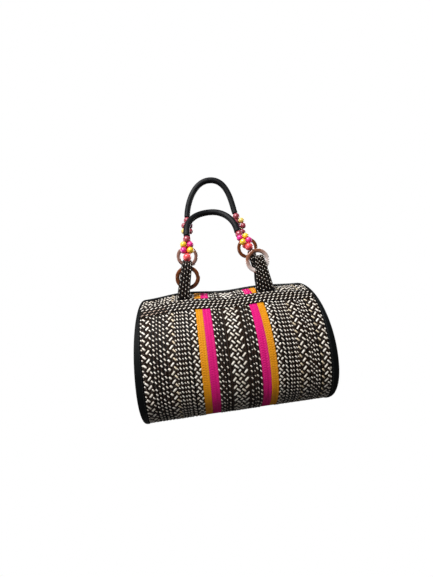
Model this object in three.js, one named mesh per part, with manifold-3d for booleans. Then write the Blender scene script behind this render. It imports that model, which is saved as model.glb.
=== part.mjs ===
// A woven cane barrel handbag with bead-and-ring handles.
// Millimetres, +Z up, front towards -Y, origin under the middle of the base.
import * as THREE from "three";
import { mergeVertices } from "three/addons/utils/BufferGeometryUtils.js";
import Module from "manifold-3d";

const wasm = await Module();
wasm.setup();

// Driving dimensions of the barrel.
const bagLength = 300;
const halfDepth = 120;
const bagHeight = 197;
const widestHeight = 76;
const baseHalfWidth = 50;
const wallThickness = 2.5;
const gap = 0.3;
const borderAtSides = 12;
const borderAtTop = 3;
const rimRound = 1.2;
const panelInset = 0.6;
const endWall = 2;

// Stripes across the front, measured from the middle of the bag.
const pinkInner = 32;
const pinkOuter = 45;
const orangeOuter = 56;

// Turns round the section, in degrees from the top towards the front.
const mouthTurn = 1.9;
const lipTurn = 5;
const bandTopTurn = 20;
const bandBottomTurn = 33;
const sideTurn = 90;
const cornerTurn = 170;

const bandThickness = 1.2;
const lipProud = 0.6;

// The top line lifts a little where the handles pull on it and sags between them.
const topLine = [
  { x: -150, lift: -4 },
  { x: -72, lift: 3 },
  { x: 0, lift: -1.5 },
  { x: 66, lift: 2 },
  { x: 150, lift: -1.5 },
];

// Stations round the front half of the section.
const sectionZones = [
  { from: lipTurn, to: bandTopTurn, steps: 2 },
  { from: bandTopTurn, to: bandBottomTurn, steps: 2 },
  { from: bandBottomTurn, to: sideTurn, steps: 5 },
  { from: sideTurn, to: cornerTurn, steps: 6 },
];

// Handle hardware.
const strapThickness = 2.4;
const eyeDepth = 7.4;
const eyeOpening = 8;
const eyeEase = 2;
const foldSteps = 5;
const ringOuter = 21;
const ringInner = 14;
const ringThickness = 5;
const ringMiddle = (ringInner + ringOuter) / 2;
const ringSoft = 2;
const ringSides = 18;
const largeBead = 14;
const smallBead = 11.4;
const largeHole = 1.5;
const smallHole = 1.7;
const largeArcs = 5;
const smallArcs = 4;
const beadSides = 10;
const coreRadius = 1;
const strandRadius = 0.55;
const threadSides = 5;
const loopSteps = 10;
const loopWide = 4.5;
const loopHigh = 5.1;
const loopSeat = 0.2;
const bailBeyond = 4.5;
const bailHigh = 3.2;
const strandOffset = 6.8;
const strandSplay = 20;
const upperToRow = 12.9;
const lowerToRow = 12;
const rowToRow = 11.8;
const gripRadius = 5.75;
const gripSides = 10;
const gripSteps = 20;

// The four handle ends. fold is the top of the tab's loop. The held rim of the ring lies rimDrop below it,
// and the ring stands up from that rim (1) or hangs down from it (-1), leaning sideways and tilting back.
// upper and lower are the colours of the right, left and rear beads of each row.
const handleEnds = [
  {
    name: "front_left", side: -1, footX: -75, footWidth: 21, foldWidth: 17, sewn: 36,
    fold: [-61.5, -36, 254.1], rimDrop: 8.8, stands: -1, lean: 0, tilt: 8, gripEnd: [-57.7, -8, 300.8],
    tiedTo: "fold", upper: ["pink", "yellow", "coral"], lower: ["yellow", "pink", "coral"],
  },
  {
    name: "front_right", side: -1, footX: 68.5, footWidth: 33.5, foldWidth: 15, sewn: 18,
    fold: [61.5, -36, 255.5], rimDrop: 26.2, stands: 1, lean: -16, tilt: 0, gripEnd: [35.7, 3, 302.2],
    tiedTo: "ring", upper: ["yellow", "pink", "coral"], lower: ["pink", "yellow", "coral"],
  },
  {
    name: "back_left", side: 1, footX: -75, footWidth: 21, foldWidth: 17, sewn: 34,
    fold: [-62, 42, 259.2], rimDrop: 10.2, stands: 1, lean: 8, tilt: 0, gripEnd: [-53.6, 60, 346],
    tiedTo: "ring", upper: ["pink", "coral", "yellow"], lower: ["coral", "yellow", "pink"],
  },
  {
    name: "back_right", side: 1, footX: 89, footWidth: 23, foldWidth: 12, sewn: 36,
    fold: [66.9, 42, 267.4], rimDrop: 10.4, stands: 1, lean: -30, tilt: 0, gripEnd: [44.7, 58, 346.3],
    tiedTo: "ring", upper: ["yellow", "coral", "pink"], lower: ["coral", "pink", "yellow"],
  },
];

// The grips: top point of each arch, how straight its ends and its top run, and how far its ends bow outwards.
const grips = [
  { name: "front", from: 0, to: 1, top: [-6.8, 44, 349.5], rise: 38.7, run: 27, bowLeft: 4.6, bowRight: 14 },
  { name: "back", from: 2, to: 3, top: [-0.4, 64, 416.7], rise: 15, run: 39, bowLeft: 1, bowRight: -1 },
];

const finishes = {
  weave: { color: 0x6a6158, roughness: 0.7, metalness: 0 },
  orange: { color: 0xf0a224, roughness: 0.65, metalness: 0 },
  pink: { color: 0xe3267f, roughness: 0.65, metalness: 0 },
  black: { color: 0x16191a, roughness: 0.6, metalness: 0 },
  wood: { color: 0x6a3616, roughness: 0.35, metalness: 0 },
  coral: { color: 0xc9525c, roughness: 0.4, metalness: 0 },
  yellow: { color: 0xecc234, roughness: 0.4, metalness: 0 },
  thread: { color: 0x2a1a1a, roughness: 0.8, metalness: 0 },
};

const radians = THREE.MathUtils.degToRad;
const bag = new THREE.Group();

function addPiece(group, name, geometry, finish) {
  const mesh = new THREE.Mesh(geometry, new THREE.MeshStandardMaterial(finishes[finish]));
  mesh.name = name;
  group.add(mesh);
  return mesh;
}

// Lift of the top line at x, eased between the rows of its table.
function topLift(x) {
  for (let row = 1; row < topLine.length; row += 1) {
    const left = topLine[row - 1];
    const right = topLine[row];
    if (x <= right.x) {
      const share = THREE.MathUtils.smoothstep(x, left.x, right.x);
      return THREE.MathUtils.lerp(left.lift, right.lift, share);
    }
  }
  return 0;
}

// Point of the plain section at a turn: an arch above the widest height, rounded corners and a flat base.
function sectionPoint(turn) {
  const back = turn > 180;
  const own = back ? 360 - turn : turn;
  let depth = 0;
  let height = 0;
  if (own <= sideTurn) {
    depth = halfDepth * Math.sin(radians(own));
    height = widestHeight + (bagHeight - widestHeight) * Math.cos(radians(own));
  } else if (own <= cornerTurn) {
    const corner = radians(90 * (own - sideTurn) / (cornerTurn - sideTurn));
    depth = baseHalfWidth + (halfDepth - baseHalfWidth) * Math.cos(corner);
    height = widestHeight * (1 - Math.sin(corner));
  } else {
    depth = baseHalfWidth * (180 - own) / (180 - cornerTurn);
  }
  return new THREE.Vector2(back ? depth : -depth, height);
}

// Point of the barrel's surface at x and a turn, moved out along the section's normal.
function surfacePoint(x, turn, offset) {
  const nudge = 0.01;
  const own = Math.min(turn, 360 - turn);
  const point = sectionPoint(turn);
  const normal = new THREE.Vector2(0, -1);
  if (own < cornerTurn) {
    const along = sectionPoint(turn + nudge).sub(sectionPoint(Math.abs(turn - nudge)));
    normal.set(along.y, -along.x).normalize();
    if (turn < nudge) normal.set(0, 1);
  }
  const share = own < sideTurn ? Math.cos(radians(own)) ** 2 : 0;
  const lift = topLift(x) * share;
  return new THREE.Vector3(x, point.x + normal.x * offset, point.y + normal.y * offset + lift);
}

// Width of the black border at a turn: a crescent, widest at the sides.
function borderAt(turn) {
  return borderAtTop + (borderAtSides - borderAtTop) * Math.sin(radians(turn)) ** 2;
}

// Place in x of an end panel's station at a turn, drawn out to the border there.
function besideBorder(x, turn) {
  const beyond = Math.abs(x) - orangeOuter;
  if (beyond <= 0) return x;
  const plainWidth = bagLength / 2 - borderAtSides - orangeOuter;
  const ownWidth = bagLength / 2 - borderAt(turn) - orangeOuter;
  return Math.sign(x) * (orangeOuter + beyond * ownWidth / plainWidth);
}

// Height of the barrel's top at x and y.
function topHeight(x, y) {
  const turn = THREE.MathUtils.radToDeg(Math.asin(Math.abs(y) / halfDepth));
  return surfacePoint(x, turn, 0).z;
}

function steps(from, to, count) {
  return Array.from({ length: count + 1 }, (_, step) => from + (to - from) * step / count);
}

// Turns from the front lip down round the base to the back lip.
const frontTurns = [lipTurn];
for (const zone of sectionZones) {
  frontTurns.push(...steps(zone.from, zone.to, zone.steps).slice(1));
}
const wrapTurns = [...frontTurns, ...frontTurns.map((turn) => 360 - turn).reverse()];

// Closed geometry from vertices and quads or triangles, with its faces turned outwards.
function closedGeometry(vertices, faces) {
  const index = [];
  for (const face of faces) {
    for (let corner = 2; corner < face.length; corner += 1) {
      index.push(face[0], face[corner - 1], face[corner]);
    }
  }
  let volume = 0;
  for (let start = 0; start < index.length; start += 3) {
    const [a, b, c] = [0, 1, 2].map((corner) => vertices[index[start + corner]]);
    volume += a.dot(b.clone().cross(c));
  }
  if (volume < 0) index.reverse();
  const geometry = new THREE.BufferGeometry();
  const places = vertices.flatMap((vertex) => vertex.toArray());
  geometry.setAttribute("position", new THREE.Float32BufferAttribute(places, 3));
  geometry.setIndex(index);
  geometry.computeVertexNormals();
  return geometry;
}

// A wall over stations in x and turns round the section, between two offsets from the surface.
function wallPatch(xs, turns, innerOffset, outerOffset) {
  const vertices = [];
  const at = (i, j, k) => (i * turns.length + j) * 2 + k;
  for (const x of xs) {
    for (const turn of turns) {
      const own = besideBorder(x, turn);
      vertices.push(surfacePoint(own, turn, innerOffset), surfacePoint(own, turn, outerOffset));
    }
  }
  const faces = [];
  const lastX = xs.length - 1;
  const lastTurn = turns.length - 1;
  for (let i = 0; i < lastX; i += 1) {
    for (let j = 0; j < lastTurn; j += 1) {
      faces.push([at(i, j, 1), at(i + 1, j, 1), at(i + 1, j + 1, 1), at(i, j + 1, 1)]);
      faces.push([at(i, j, 0), at(i, j + 1, 0), at(i + 1, j + 1, 0), at(i + 1, j, 0)]);
    }
    faces.push([at(i, 0, 0), at(i + 1, 0, 0), at(i + 1, 0, 1), at(i, 0, 1)]);
    faces.push([at(i, lastTurn, 1), at(i + 1, lastTurn, 1), at(i + 1, lastTurn, 0), at(i, lastTurn, 0)]);
  }
  for (let j = 0; j < lastTurn; j += 1) {
    faces.push([at(0, j, 0), at(0, j, 1), at(0, j + 1, 1), at(0, j + 1, 0)]);
    faces.push([at(lastX, j, 1), at(lastX, j, 0), at(lastX, j + 1, 0), at(lastX, j + 1, 1)]);
  }
  return closedGeometry(vertices, faces);
}

// A round end: a flat panel with a border turned over the wall's edge. rows run from the panel's outer face,
// over the rim and the border, to its inner face.
function endCap(side) {
  const halfLength = bagLength / 2;
  const face = halfLength - panelInset;
  const lip = (turn) => halfLength - borderAt(turn) + gap;
  const rows = [
    { x: () => face, offset: -wallThickness },
    { x: () => halfLength, offset: -rimRound },
    { x: () => halfLength - rimRound, offset: 0 },
    { x: lip, offset: 0 },
    { x: lip, offset: -wallThickness },
    { x: () => face - endWall, offset: -wallThickness },
  ];
  const turns = [0, ...wrapTurns];
  const count = turns.length;
  const vertices = rows.flatMap(
    (row) => turns.map((turn) => surfacePoint(side * row.x(turn), turn, row.offset)),
  );
  const outerMiddle = vertices.push(new THREE.Vector3(side * face, 0, widestHeight)) - 1;
  const innerMiddle = vertices.push(new THREE.Vector3(side * (face - endWall), 0, widestHeight)) - 1;
  const faces = [];
  for (let j = 0; j < count; j += 1) {
    const next = (j + 1) % count;
    for (let row = 0; row < rows.length - 1; row += 1) {
      const here = row * count;
      faces.push([here + j, here + next, here + count + next, here + count + j]);
    }
    const last = (rows.length - 1) * count;
    faces.push([outerMiddle, next, j]);
    faces.push([innerMiddle, last + j, last + next]);
  }
  return closedGeometry(vertices, faces);
}

// A round tube through points, closed at its ends or into a loop.
function tube(points, radius, sides, loop = false) {
  const vertices = [];
  const count = points.length;
  const tangentAt = (i) => {
    const before = points[loop ? (i + count - 1) % count : Math.max(i - 1, 0)];
    const after = points[loop ? (i + 1) % count : Math.min(i + 1, count - 1)];
    const incoming = points[i].clone().sub(before).normalize();
    const outgoing = after.clone().sub(points[i]).normalize();
    return incoming.add(outgoing).normalize();
  };
  let across = new THREE.Vector3(0.31, 0.87, 0.38);
  if (loop) {
    const first = points[0].clone().sub(points[Math.floor(count / 2)]);
    across = first.cross(tangentAt(0));
  }
  for (let i = 0; i < count; i += 1) {
    const tangent = tangentAt(i);
    across = across.clone().addScaledVector(tangent, -across.dot(tangent)).normalize();
    const other = tangent.clone().cross(across);
    for (let side = 0; side < sides; side += 1) {
      const angle = 2 * Math.PI * side / sides;
      const vertex = points[i].clone();
      vertex.addScaledVector(across, radius * Math.cos(angle));
      vertex.addScaledVector(other, radius * Math.sin(angle));
      vertices.push(vertex);
    }
  }
  const faces = [];
  for (let i = 0; i < (loop ? count : count - 1); i += 1) {
    const here = i * sides;
    const ahead = ((i + 1) % count) * sides;
    for (let side = 0; side < sides; side += 1) {
      const next = (side + 1) % sides;
      faces.push([here + side, here + next, ahead + next, ahead + side]);
    }
  }
  if (!loop) {
    const ring = Array.from({ length: sides }, (_, side) => side);
    faces.push(ring.slice().reverse());
    faces.push(ring.map((side) => (count - 1) * sides + side));
  }
  return closedGeometry(vertices, faces);
}

function toSolid(geometry) {
  const bare = geometry.clone();
  bare.deleteAttribute("normal");
  const merged = mergeVertices(bare, 1e-4);
  const vertProperties = new Float32Array(merged.attributes.position.array);
  const triVerts = new Uint32Array(merged.index.array);
  return new wasm.Manifold(new wasm.Mesh({ numProp: 3, vertProperties, triVerts }));
}

function fromSolid(solid) {
  const mesh = solid.getMesh();
  const geometry = new THREE.BufferGeometry();
  geometry.setAttribute("position", new THREE.BufferAttribute(mesh.vertProperties, 3));
  geometry.setIndex(new THREE.BufferAttribute(mesh.triVerts, 1));
  geometry.computeVertexNormals();
  return geometry;
}

// Barrel walls, one strip for each change of colour.
function buildBarrel() {
  const barrel = new THREE.Group();
  const wallEnd = bagLength / 2 - borderAtSides;
  const strips = [
    { name: "panel_left", from: -wallEnd, to: -orangeOuter, cells: 3, finish: "weave" },
    { name: "stripe_orange_left", from: -orangeOuter, to: -pinkOuter, cells: 1, finish: "orange" },
    { name: "stripe_pink_left", from: -pinkOuter, to: -pinkInner, cells: 1, finish: "pink" },
    { name: "panel_middle", from: -pinkInner, to: pinkInner, cells: 2, finish: "weave" },
    { name: "stripe_pink_right", from: pinkInner, to: pinkOuter, cells: 1, finish: "pink" },
    { name: "stripe_orange_right", from: pinkOuter, to: orangeOuter, cells: 1, finish: "orange" },
    { name: "panel_right", from: orangeOuter, to: wallEnd, cells: 3, finish: "weave" },
  ];
  const allStations = [];
  for (const strip of strips) {
    const stations = steps(strip.from, strip.to, strip.cells);
    allStations.push(...stations.slice(allStations.length ? 1 : 0));
    stations[0] += gap / 2;
    stations[strip.cells] -= gap / 2;
    addPiece(barrel, strip.name, wallPatch(stations, wrapTurns, -wallThickness, 0), strip.finish);
  }
  const bandTurns = frontTurns.filter((turn) => turn >= bandTopTurn && turn <= bandBottomTurn);
  const lipStations = steps(-wallEnd, wallEnd, 8);
  const lipTurns = [mouthTurn, lipTurn - THREE.MathUtils.radToDeg(gap / halfDepth)];
  const sides = [
    { name: "front", mirror: (turn) => turn },
    { name: "back", mirror: (turn) => 360 - turn },
  ];
  for (const side of sides) {
    const band = wallPatch(allStations, bandTurns.map(side.mirror), gap, gap + bandThickness);
    addPiece(barrel, `seam_band_${side.name}`, band, "weave");
    const lip = wallPatch(lipStations, lipTurns.map(side.mirror), -wallThickness, lipProud);
    addPiece(barrel, `mouth_edge_${side.name}`, lip, "black");
  }
  addPiece(barrel, "end_cap_left", endCap(-1), "black");
  addPiece(barrel, "end_cap_right", endCap(1), "black");
  return barrel;
}

// Side view of a tab: two layers sewn together at the foot, opening into a loop under the fold.
function tabProfile(length, sewn) {
  const foldRadius = strapThickness + eyeDepth / 2;
  const back = 2 * foldRadius;
  const foldHeight = length - foldRadius;
  const opened = sewn + eyeOpening;
  const doubled = 2 * strapThickness;
  const inner = back - strapThickness;
  const profile = new THREE.Shape();
  profile.moveTo(0, 0);
  profile.lineTo(0, foldHeight);
  profile.absarc(foldRadius, foldHeight, foldRadius, Math.PI, 0, true);
  profile.lineTo(back, opened);
  profile.bezierCurveTo(back, sewn + eyeEase, doubled, sewn, doubled, sewn - eyeOpening);
  profile.lineTo(doubled, 0);
  const eye = new THREE.Path();
  eye.moveTo(strapThickness, sewn);
  const halfOpen = sewn + eyeOpening / 2;
  eye.bezierCurveTo(strapThickness + eyeEase, sewn + eyeEase / 2, inner, halfOpen, inner, opened);
  eye.lineTo(inner, foldHeight);
  eye.absarc(foldRadius, foldHeight, eyeDepth / 2, 0, Math.PI, false);
  profile.holes.push(eye);
  return profile;
}

// The tab's own axes: up along the strap, in towards the middle of the bag, and across its width.
function tabFrame(end) {
  const foldRadius = strapThickness + eyeDepth / 2;
  const footDepth = Math.abs(sectionPoint(bandTopTurn).x) - 2 * gap;
  const foot = new THREE.Vector3(end.footX, end.side * footDepth, topHeight(end.footX, footDepth));
  const inward = new THREE.Vector3(0, -end.side, 0);
  const head = new THREE.Vector3(...end.fold).addScaledVector(inward, -foldRadius);
  const up = head.clone().sub(foot);
  const length = up.length();
  up.normalize();
  inward.addScaledVector(up, -inward.dot(up)).normalize();
  const across = up.clone().cross(inward);
  if (across.x < 0) across.negate();
  return { foot, up, inward, across, length };
}

function tabGeometry(end) {
  const { foot, up, inward, across, length } = tabFrame(end);
  const plain = { depth: 1, bevelEnabled: false, curveSegments: foldSteps };
  const geometry = new THREE.ExtrudeGeometry(tabProfile(length, end.sewn), plain);
  const places = geometry.attributes.position;
  for (let i = 0; i < places.count; i += 1) {
    const [inAt, upAt, wide] = [places.getX(i), places.getY(i), places.getZ(i) - 0.5];
    const width = THREE.MathUtils.lerp(end.footWidth, end.foldWidth, upAt / length);
    const vertex = foot.clone().addScaledVector(up, upAt).addScaledVector(inward, inAt);
    vertex.addScaledVector(across, wide * width);
    if (upAt === 0) vertex.z = topHeight(vertex.x, vertex.y) + gap;
    places.setXYZ(i, ...vertex.toArray());
  }
  const leftHanded = inward.clone().cross(up).dot(across) < 0;
  return leftHanded ? flipFaces(geometry) : geometry;
}

// Turns every triangle of a loose-triangle geometry the other way round.
function flipFaces(geometry) {
  const places = geometry.attributes.position;
  for (let i = 0; i < places.count; i += 3) {
    const second = [places.getX(i + 1), places.getY(i + 1), places.getZ(i + 1)];
    places.setXYZ(i + 1, places.getX(i + 2), places.getY(i + 2), places.getZ(i + 2));
    places.setXYZ(i + 2, ...second);
  }
  return geometry;
}

// A flat ring with softened edges, its axis along Y.
function ringGeometry() {
  const half = ringThickness / 2;
  const nearIn = ringInner + ringSoft;
  const nearOut = ringOuter - ringSoft;
  const profile = [
    new THREE.Vector2(ringInner, 0), new THREE.Vector2(nearIn, -half), new THREE.Vector2(nearOut, -half),
    new THREE.Vector2(ringOuter, 0), new THREE.Vector2(nearOut, half), new THREE.Vector2(nearIn, half),
    new THREE.Vector2(ringInner, 0),
  ];
  return new THREE.LatheGeometry(profile, ringSides);
}

// A drilled round bead, its hole along Y.
function beadGeometry(diameter, hole, arcSteps) {
  const radius = diameter / 2;
  const start = Math.asin(hole / radius);
  const profile = steps(start, Math.PI - start, arcSteps).map(
    (angle) => new THREE.Vector2(radius * Math.sin(angle), -radius * Math.cos(angle)),
  );
  profile.push(profile[0].clone());
  return new THREE.LatheGeometry(profile, beadSides);
}

function placeBead(group, name, finish, diameter, centre, direction) {
  const large = diameter === largeBead;
  const geometry = beadGeometry(diameter, large ? largeHole : smallHole, large ? largeArcs : smallArcs);
  const bead = addPiece(group, name, geometry, finish);
  bead.position.copy(centre);
  bead.quaternion.setFromUnitVectors(new THREE.Vector3(0, 1, 0), direction);
}

// Centre of the ring at one end, from the rim that the tab's loop holds.
function ringPlace(end, frame) {
  const held = frame.foot.clone().addScaledVector(frame.up, frame.length - end.rimDrop);
  held.addScaledVector(frame.inward, strapThickness + eyeDepth / 2);
  const lean = radians(end.lean);
  const tilt = radians(end.tilt);
  const upright = new THREE.Vector3(Math.sin(lean), -Math.sin(tilt), Math.cos(lean) * Math.cos(tilt));
  upright.normalize();
  return held.addScaledVector(upright, end.stands * ringMiddle);
}

// One handle end: tab, ring, bead cord and beads. Returns where the grip starts and the way it leaves.
function buildEnd(end) {
  const group = new THREE.Group();
  const frame = tabFrame(end);
  addPiece(group, `tab_${end.name}`, tabGeometry(end), "weave");
  const ring = addPiece(group, `ring_${end.name}`, ringGeometry(), "wood");
  const ringCentre = ringPlace(end, frame);
  ring.position.copy(ringCentre);
  ring.rotation.x = radians(end.tilt);

  const gripEnd = new THREE.Vector3(...end.gripEnd);
  const knot = new THREE.Vector3(...end.fold);
  const onRing = end.tiedTo === "ring";
  if (onRing) {
    const outward = gripEnd.clone().sub(ringCentre).setY(0).normalize();
    knot.copy(ringCentre).addScaledVector(outward, ringMiddle + loopSeat);
  } else {
    knot.z -= strapThickness / 2;
  }
  const along = gripEnd.clone().sub(knot).normalize();
  const right = new THREE.Vector3(1, 0, 0).addScaledVector(along, -along.x).normalize();
  const front = right.clone().cross(along);
  const loopUp = onRing ? along : frame.up;
  const up = loopUp.clone().multiplyScalar(onRing ? loopHigh : bailHigh);
  const across = onRing ? front.clone().multiplyScalar(loopWide)
    : frame.across.clone().multiplyScalar(end.foldWidth / 2 + bailBeyond);

  const upperLarge = gripEnd.clone().addScaledVector(along, -gap - largeBead / 2);
  const middle = upperLarge.clone().addScaledVector(along, -upperToRow - rowToRow / 2);
  const lowerLarge = middle.clone().addScaledVector(along, -lowerToRow - rowToRow / 2);
  placeBead(group, `bead_${end.name}_top`, "coral", largeBead, upperLarge, along);
  placeBead(group, `bead_${end.name}_bottom`, "coral", largeBead, lowerLarge, along);

  const loopPoints = steps(0, 2 * Math.PI, loopSteps).slice(0, loopSteps).map((angle) => knot.clone()
    .addScaledVector(up, Math.cos(angle))
    .addScaledVector(across, Math.sin(angle)));
  const toLarge = rowToRow / 2 - largeBead / 2 - strandRadius;
  const upperSplit = upperToRow + toLarge;
  const lowerSplit = lowerToRow + toLarge;
  const below = lowerLarge.clone().addScaledVector(along, -largeBead / 2 - coreRadius);
  const tie = loopPoints[0].clone().addScaledVector(loopUp, -coreRadius);
  const lowerCore = [tie, below, middle.clone().addScaledVector(along, coreRadius - lowerSplit)];
  const upperEnd = gripEnd.clone().addScaledVector(along, -2 * gap);
  const upperCore = [middle.clone().addScaledVector(along, upperSplit - coreRadius), upperEnd];
  let cord = toSolid(tube(loopPoints, strandRadius, threadSides, true));
  cord = cord.add(toSolid(tube(lowerCore, coreRadius, threadSides)));
  cord = cord.add(toSolid(tube(upperCore, coreRadius, threadSides)));

  const holeIn = smallBead / 2 * Math.sin(radians(strandSplay));
  const holeUp = smallBead / 2 * Math.cos(radians(strandSplay));
  const strands = [
    { name: "right", angle: 30 },
    { name: "left", angle: 150 },
    { name: "rear", angle: 270 },
  ];
  strands.forEach((strand, number) => {
    const angle = radians(strand.angle);
    const outward = right.clone().multiplyScalar(Math.cos(angle)).addScaledVector(front, Math.sin(angle));
    const at = (out, up) => middle.clone().addScaledVector(outward, out).addScaledVector(along, up);
    const rowUp = rowToRow / 2;
    const path = [
      at(0, upperSplit + coreRadius), at(0, upperSplit), at(strandOffset - holeIn, rowUp + holeUp),
      at(strandOffset + holeIn, rowUp - holeUp), at(strandOffset + holeIn, holeUp - rowUp),
      at(strandOffset - holeIn, -rowUp - holeUp), at(0, -lowerSplit), at(0, -lowerSplit - coreRadius),
    ];
    cord = cord.add(toSolid(tube(path, strandRadius, threadSides)));
    const upperWay = path[2].clone().sub(path[3]).normalize();
    const lowerWay = path[4].clone().sub(path[5]).normalize();
    placeBead(group, `bead_${end.name}_upper_${strand.name}`, end.upper[number], smallBead,
      at(strandOffset, rowUp), upperWay);
    placeBead(group, `bead_${end.name}_lower_${strand.name}`, end.lower[number], smallBead,
      at(strandOffset, -rowUp), lowerWay);
  });
  addPiece(group, `cord_${end.name}`, fromSolid(cord), "thread");
  return { group, gripEnd, along };
}

// A stuffed tube grip arching between two handle ends.
function buildGrip(grip, from, to) {
  const top = new THREE.Vector3(...grip.top);
  const leaving = (end, rise, bow) => {
    const point = end.gripEnd.clone().addScaledVector(end.along, rise);
    return point.setX(point.x + bow);
  };
  const left = new THREE.CubicBezierCurve3(
    from.gripEnd, leaving(from, grip.rise, -grip.bowLeft), top.clone().setX(top.x - grip.run), top,
  );
  const right = new THREE.CubicBezierCurve3(
    top, top.clone().setX(top.x + grip.run), leaving(to, grip.rise, grip.bowRight), to.gripEnd,
  );
  const half = gripSteps / 2;
  const points = [...left.getSpacedPoints(half), ...right.getSpacedPoints(half).slice(1)];
  return tube(points, gripRadius, gripSides);
}

function buildHandles() {
  const handles = new THREE.Group();
  const ends = handleEnds.map(buildEnd);
  for (const end of ends) handles.add(end.group);
  for (const grip of grips) {
    addPiece(handles, `grip_${grip.name}`, buildGrip(grip, ends[grip.from], ends[grip.to]), "black");
  }
  return handles;
}

bag.add(buildBarrel(), buildHandles());

export default bag;
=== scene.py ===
import bisect
import math

import bpy
from mathutils import Matrix, Vector


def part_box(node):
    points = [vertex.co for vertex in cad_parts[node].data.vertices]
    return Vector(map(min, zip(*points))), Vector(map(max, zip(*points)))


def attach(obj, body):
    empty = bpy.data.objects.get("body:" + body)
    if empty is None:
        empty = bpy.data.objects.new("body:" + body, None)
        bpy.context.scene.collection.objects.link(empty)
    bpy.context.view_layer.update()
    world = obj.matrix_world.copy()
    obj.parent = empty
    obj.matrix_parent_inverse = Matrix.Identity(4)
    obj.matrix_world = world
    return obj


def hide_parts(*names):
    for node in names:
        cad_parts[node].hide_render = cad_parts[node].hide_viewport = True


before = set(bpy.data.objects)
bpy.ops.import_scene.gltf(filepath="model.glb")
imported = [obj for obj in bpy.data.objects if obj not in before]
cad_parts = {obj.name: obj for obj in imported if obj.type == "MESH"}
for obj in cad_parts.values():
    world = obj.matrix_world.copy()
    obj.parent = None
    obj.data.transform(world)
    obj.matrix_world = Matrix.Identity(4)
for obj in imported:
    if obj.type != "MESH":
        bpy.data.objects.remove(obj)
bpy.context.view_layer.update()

mm = 0.001
scene = bpy.context.scene
print("frame loaded with", len(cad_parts), "nodes")


# small tools for node trees
class Wire:
    def __init__(self, bench, socket):
        self.bench = bench
        self.socket = socket

    def other(self, name):  # another output of the same node
        return Wire(self.bench, self.bench.pick(self.socket.node.outputs, name))

    def __add__(self, value):
        return self.bench.maths("ADD", self, value)

    def __radd__(self, value):
        return self.bench.maths("ADD", value, self)

    def __sub__(self, value):
        return self.bench.maths("SUBTRACT", self, value)

    def __rsub__(self, value):
        return self.bench.maths("SUBTRACT", value, self)

    def __mul__(self, value):
        return self.bench.maths("MULTIPLY", self, value)

    def __rmul__(self, value):
        return self.bench.maths("MULTIPLY", value, self)

    def __gt__(self, value):
        return self.bench.maths("GREATER_THAN", self, value)


class Bench:
    def __init__(self, tree):
        self.tree = tree

    def pick(self, sockets, key):
        if isinstance(key, int):
            return [socket for socket in sockets if socket.enabled][key]
        return next(socket for socket in sockets if socket.enabled and socket.name == key)

    def feed(self, socket, value):
        if isinstance(value, Wire):
            self.tree.links.new(value.socket, socket)
        else:
            socket.default_value = value

    def node(self, kind, settings=None, sockets=None, output=0):
        made = self.tree.nodes.new(kind)
        for name, value in (settings or {}).items():
            setattr(made, name, value)
        for name, value in (sockets or {}).items():
            self.feed(self.pick(made.inputs, name), value)
        return Wire(self, self.pick(made.outputs, output)) if made.outputs else made

    def maths(self, operation, *values):
        return self.node("ShaderNodeMath", {"operation": operation}, dict(enumerate(values)))

    def vectors(self, operation, *values, output=0):
        return self.node("ShaderNodeVectorMath", {"operation": operation}, dict(enumerate(values)), output)


class Paint(Bench):
    def __init__(self, name, fixed):
        self.material = bpy.data.materials.new(name)
        self.material.use_nodes = True
        super().__init__(self.material.node_tree)
        self.tree.nodes.clear()
        self.shader = self.node("ShaderNodeBsdfPrincipled", None, fixed)
        self.node("ShaderNodeOutputMaterial", None, {"Surface": self.shader})

    def place(self):
        return self.node("ShaderNodeTexCoord", output="Object")

    def attribute(self, name, output):
        return self.node("ShaderNodeAttribute", {"attribute_name": name}, output=output)

    def noise(self, vector, scale, detail=3.0, roughness=0.55):
        return self.node("ShaderNodeTexNoise", None,
                         {"Vector": vector, "Scale": scale, "Detail": detail, "Roughness": roughness})

    def mix(self, share, first, second):
        return self.node("ShaderNodeMix", {"data_type": "RGBA", "clamp_factor": True},
                         {0: share, 1: first, 2: second})

    def finish(self, colour, roughness, relief, depth, strength):
        bump = self.node("ShaderNodeBump", None, {"Strength": strength, "Distance": depth, "Height": relief})
        for name, value in (("Base Color", colour), ("Roughness", roughness), ("Normal", bump)):
            self.feed(self.shader.socket.node.inputs[name], value)
        return self.material


def tint(red, green, blue):  # screen colour, 0 to 255, to the linear colour that a shader takes
    screen = (red / 255, green / 255, blue / 255)
    return (*(c / 12.92 if c <= 0.04045 else ((c + 0.055) / 1.055) ** 2.4 for c in screen), 1.0)


# finishes: the shares say how far a pattern moves the colour from deep to light
caneLook = dict(
    shift=(31.0, 17.0, 7.0), stretch=(1.6, 11.0, 1.0), detail=4.0, toneShare=0.55, streakShare=0.7, base=-0.1,
    rougher=0.18, depth=0.25 * mm, strength=0.5,
)


def cane(name, light, deep, fixed, gloss):  # split cane: streaks along each float, and a shade of its own
    look = caneLook
    paint = Paint(name, fixed)
    tone = paint.attribute("tone", "Fac")
    shift = {axis: tone * far for axis, far in zip("XYZ", look["shift"])}
    shift = paint.node("ShaderNodeCombineXYZ", None, shift)
    grain = paint.vectors("MULTIPLY_ADD", paint.attribute("grain", "Vector"), look["stretch"], shift)
    streak = paint.noise(grain, 1.0, look["detail"])
    share = tone * look["toneShare"] + streak * look["streakShare"] + look["base"]
    colour = paint.mix(share, deep, light)
    return paint.finish(colour, gloss + streak * look["rougher"], streak, look["depth"], look["strength"])


clothLook = dict(
    wearScale=60.0, wearDetail=4.0, weaveShare=0.3, wearShare=0.7, rougher=0.2, depth=0.12 * mm, strength=0.5,
)


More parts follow.
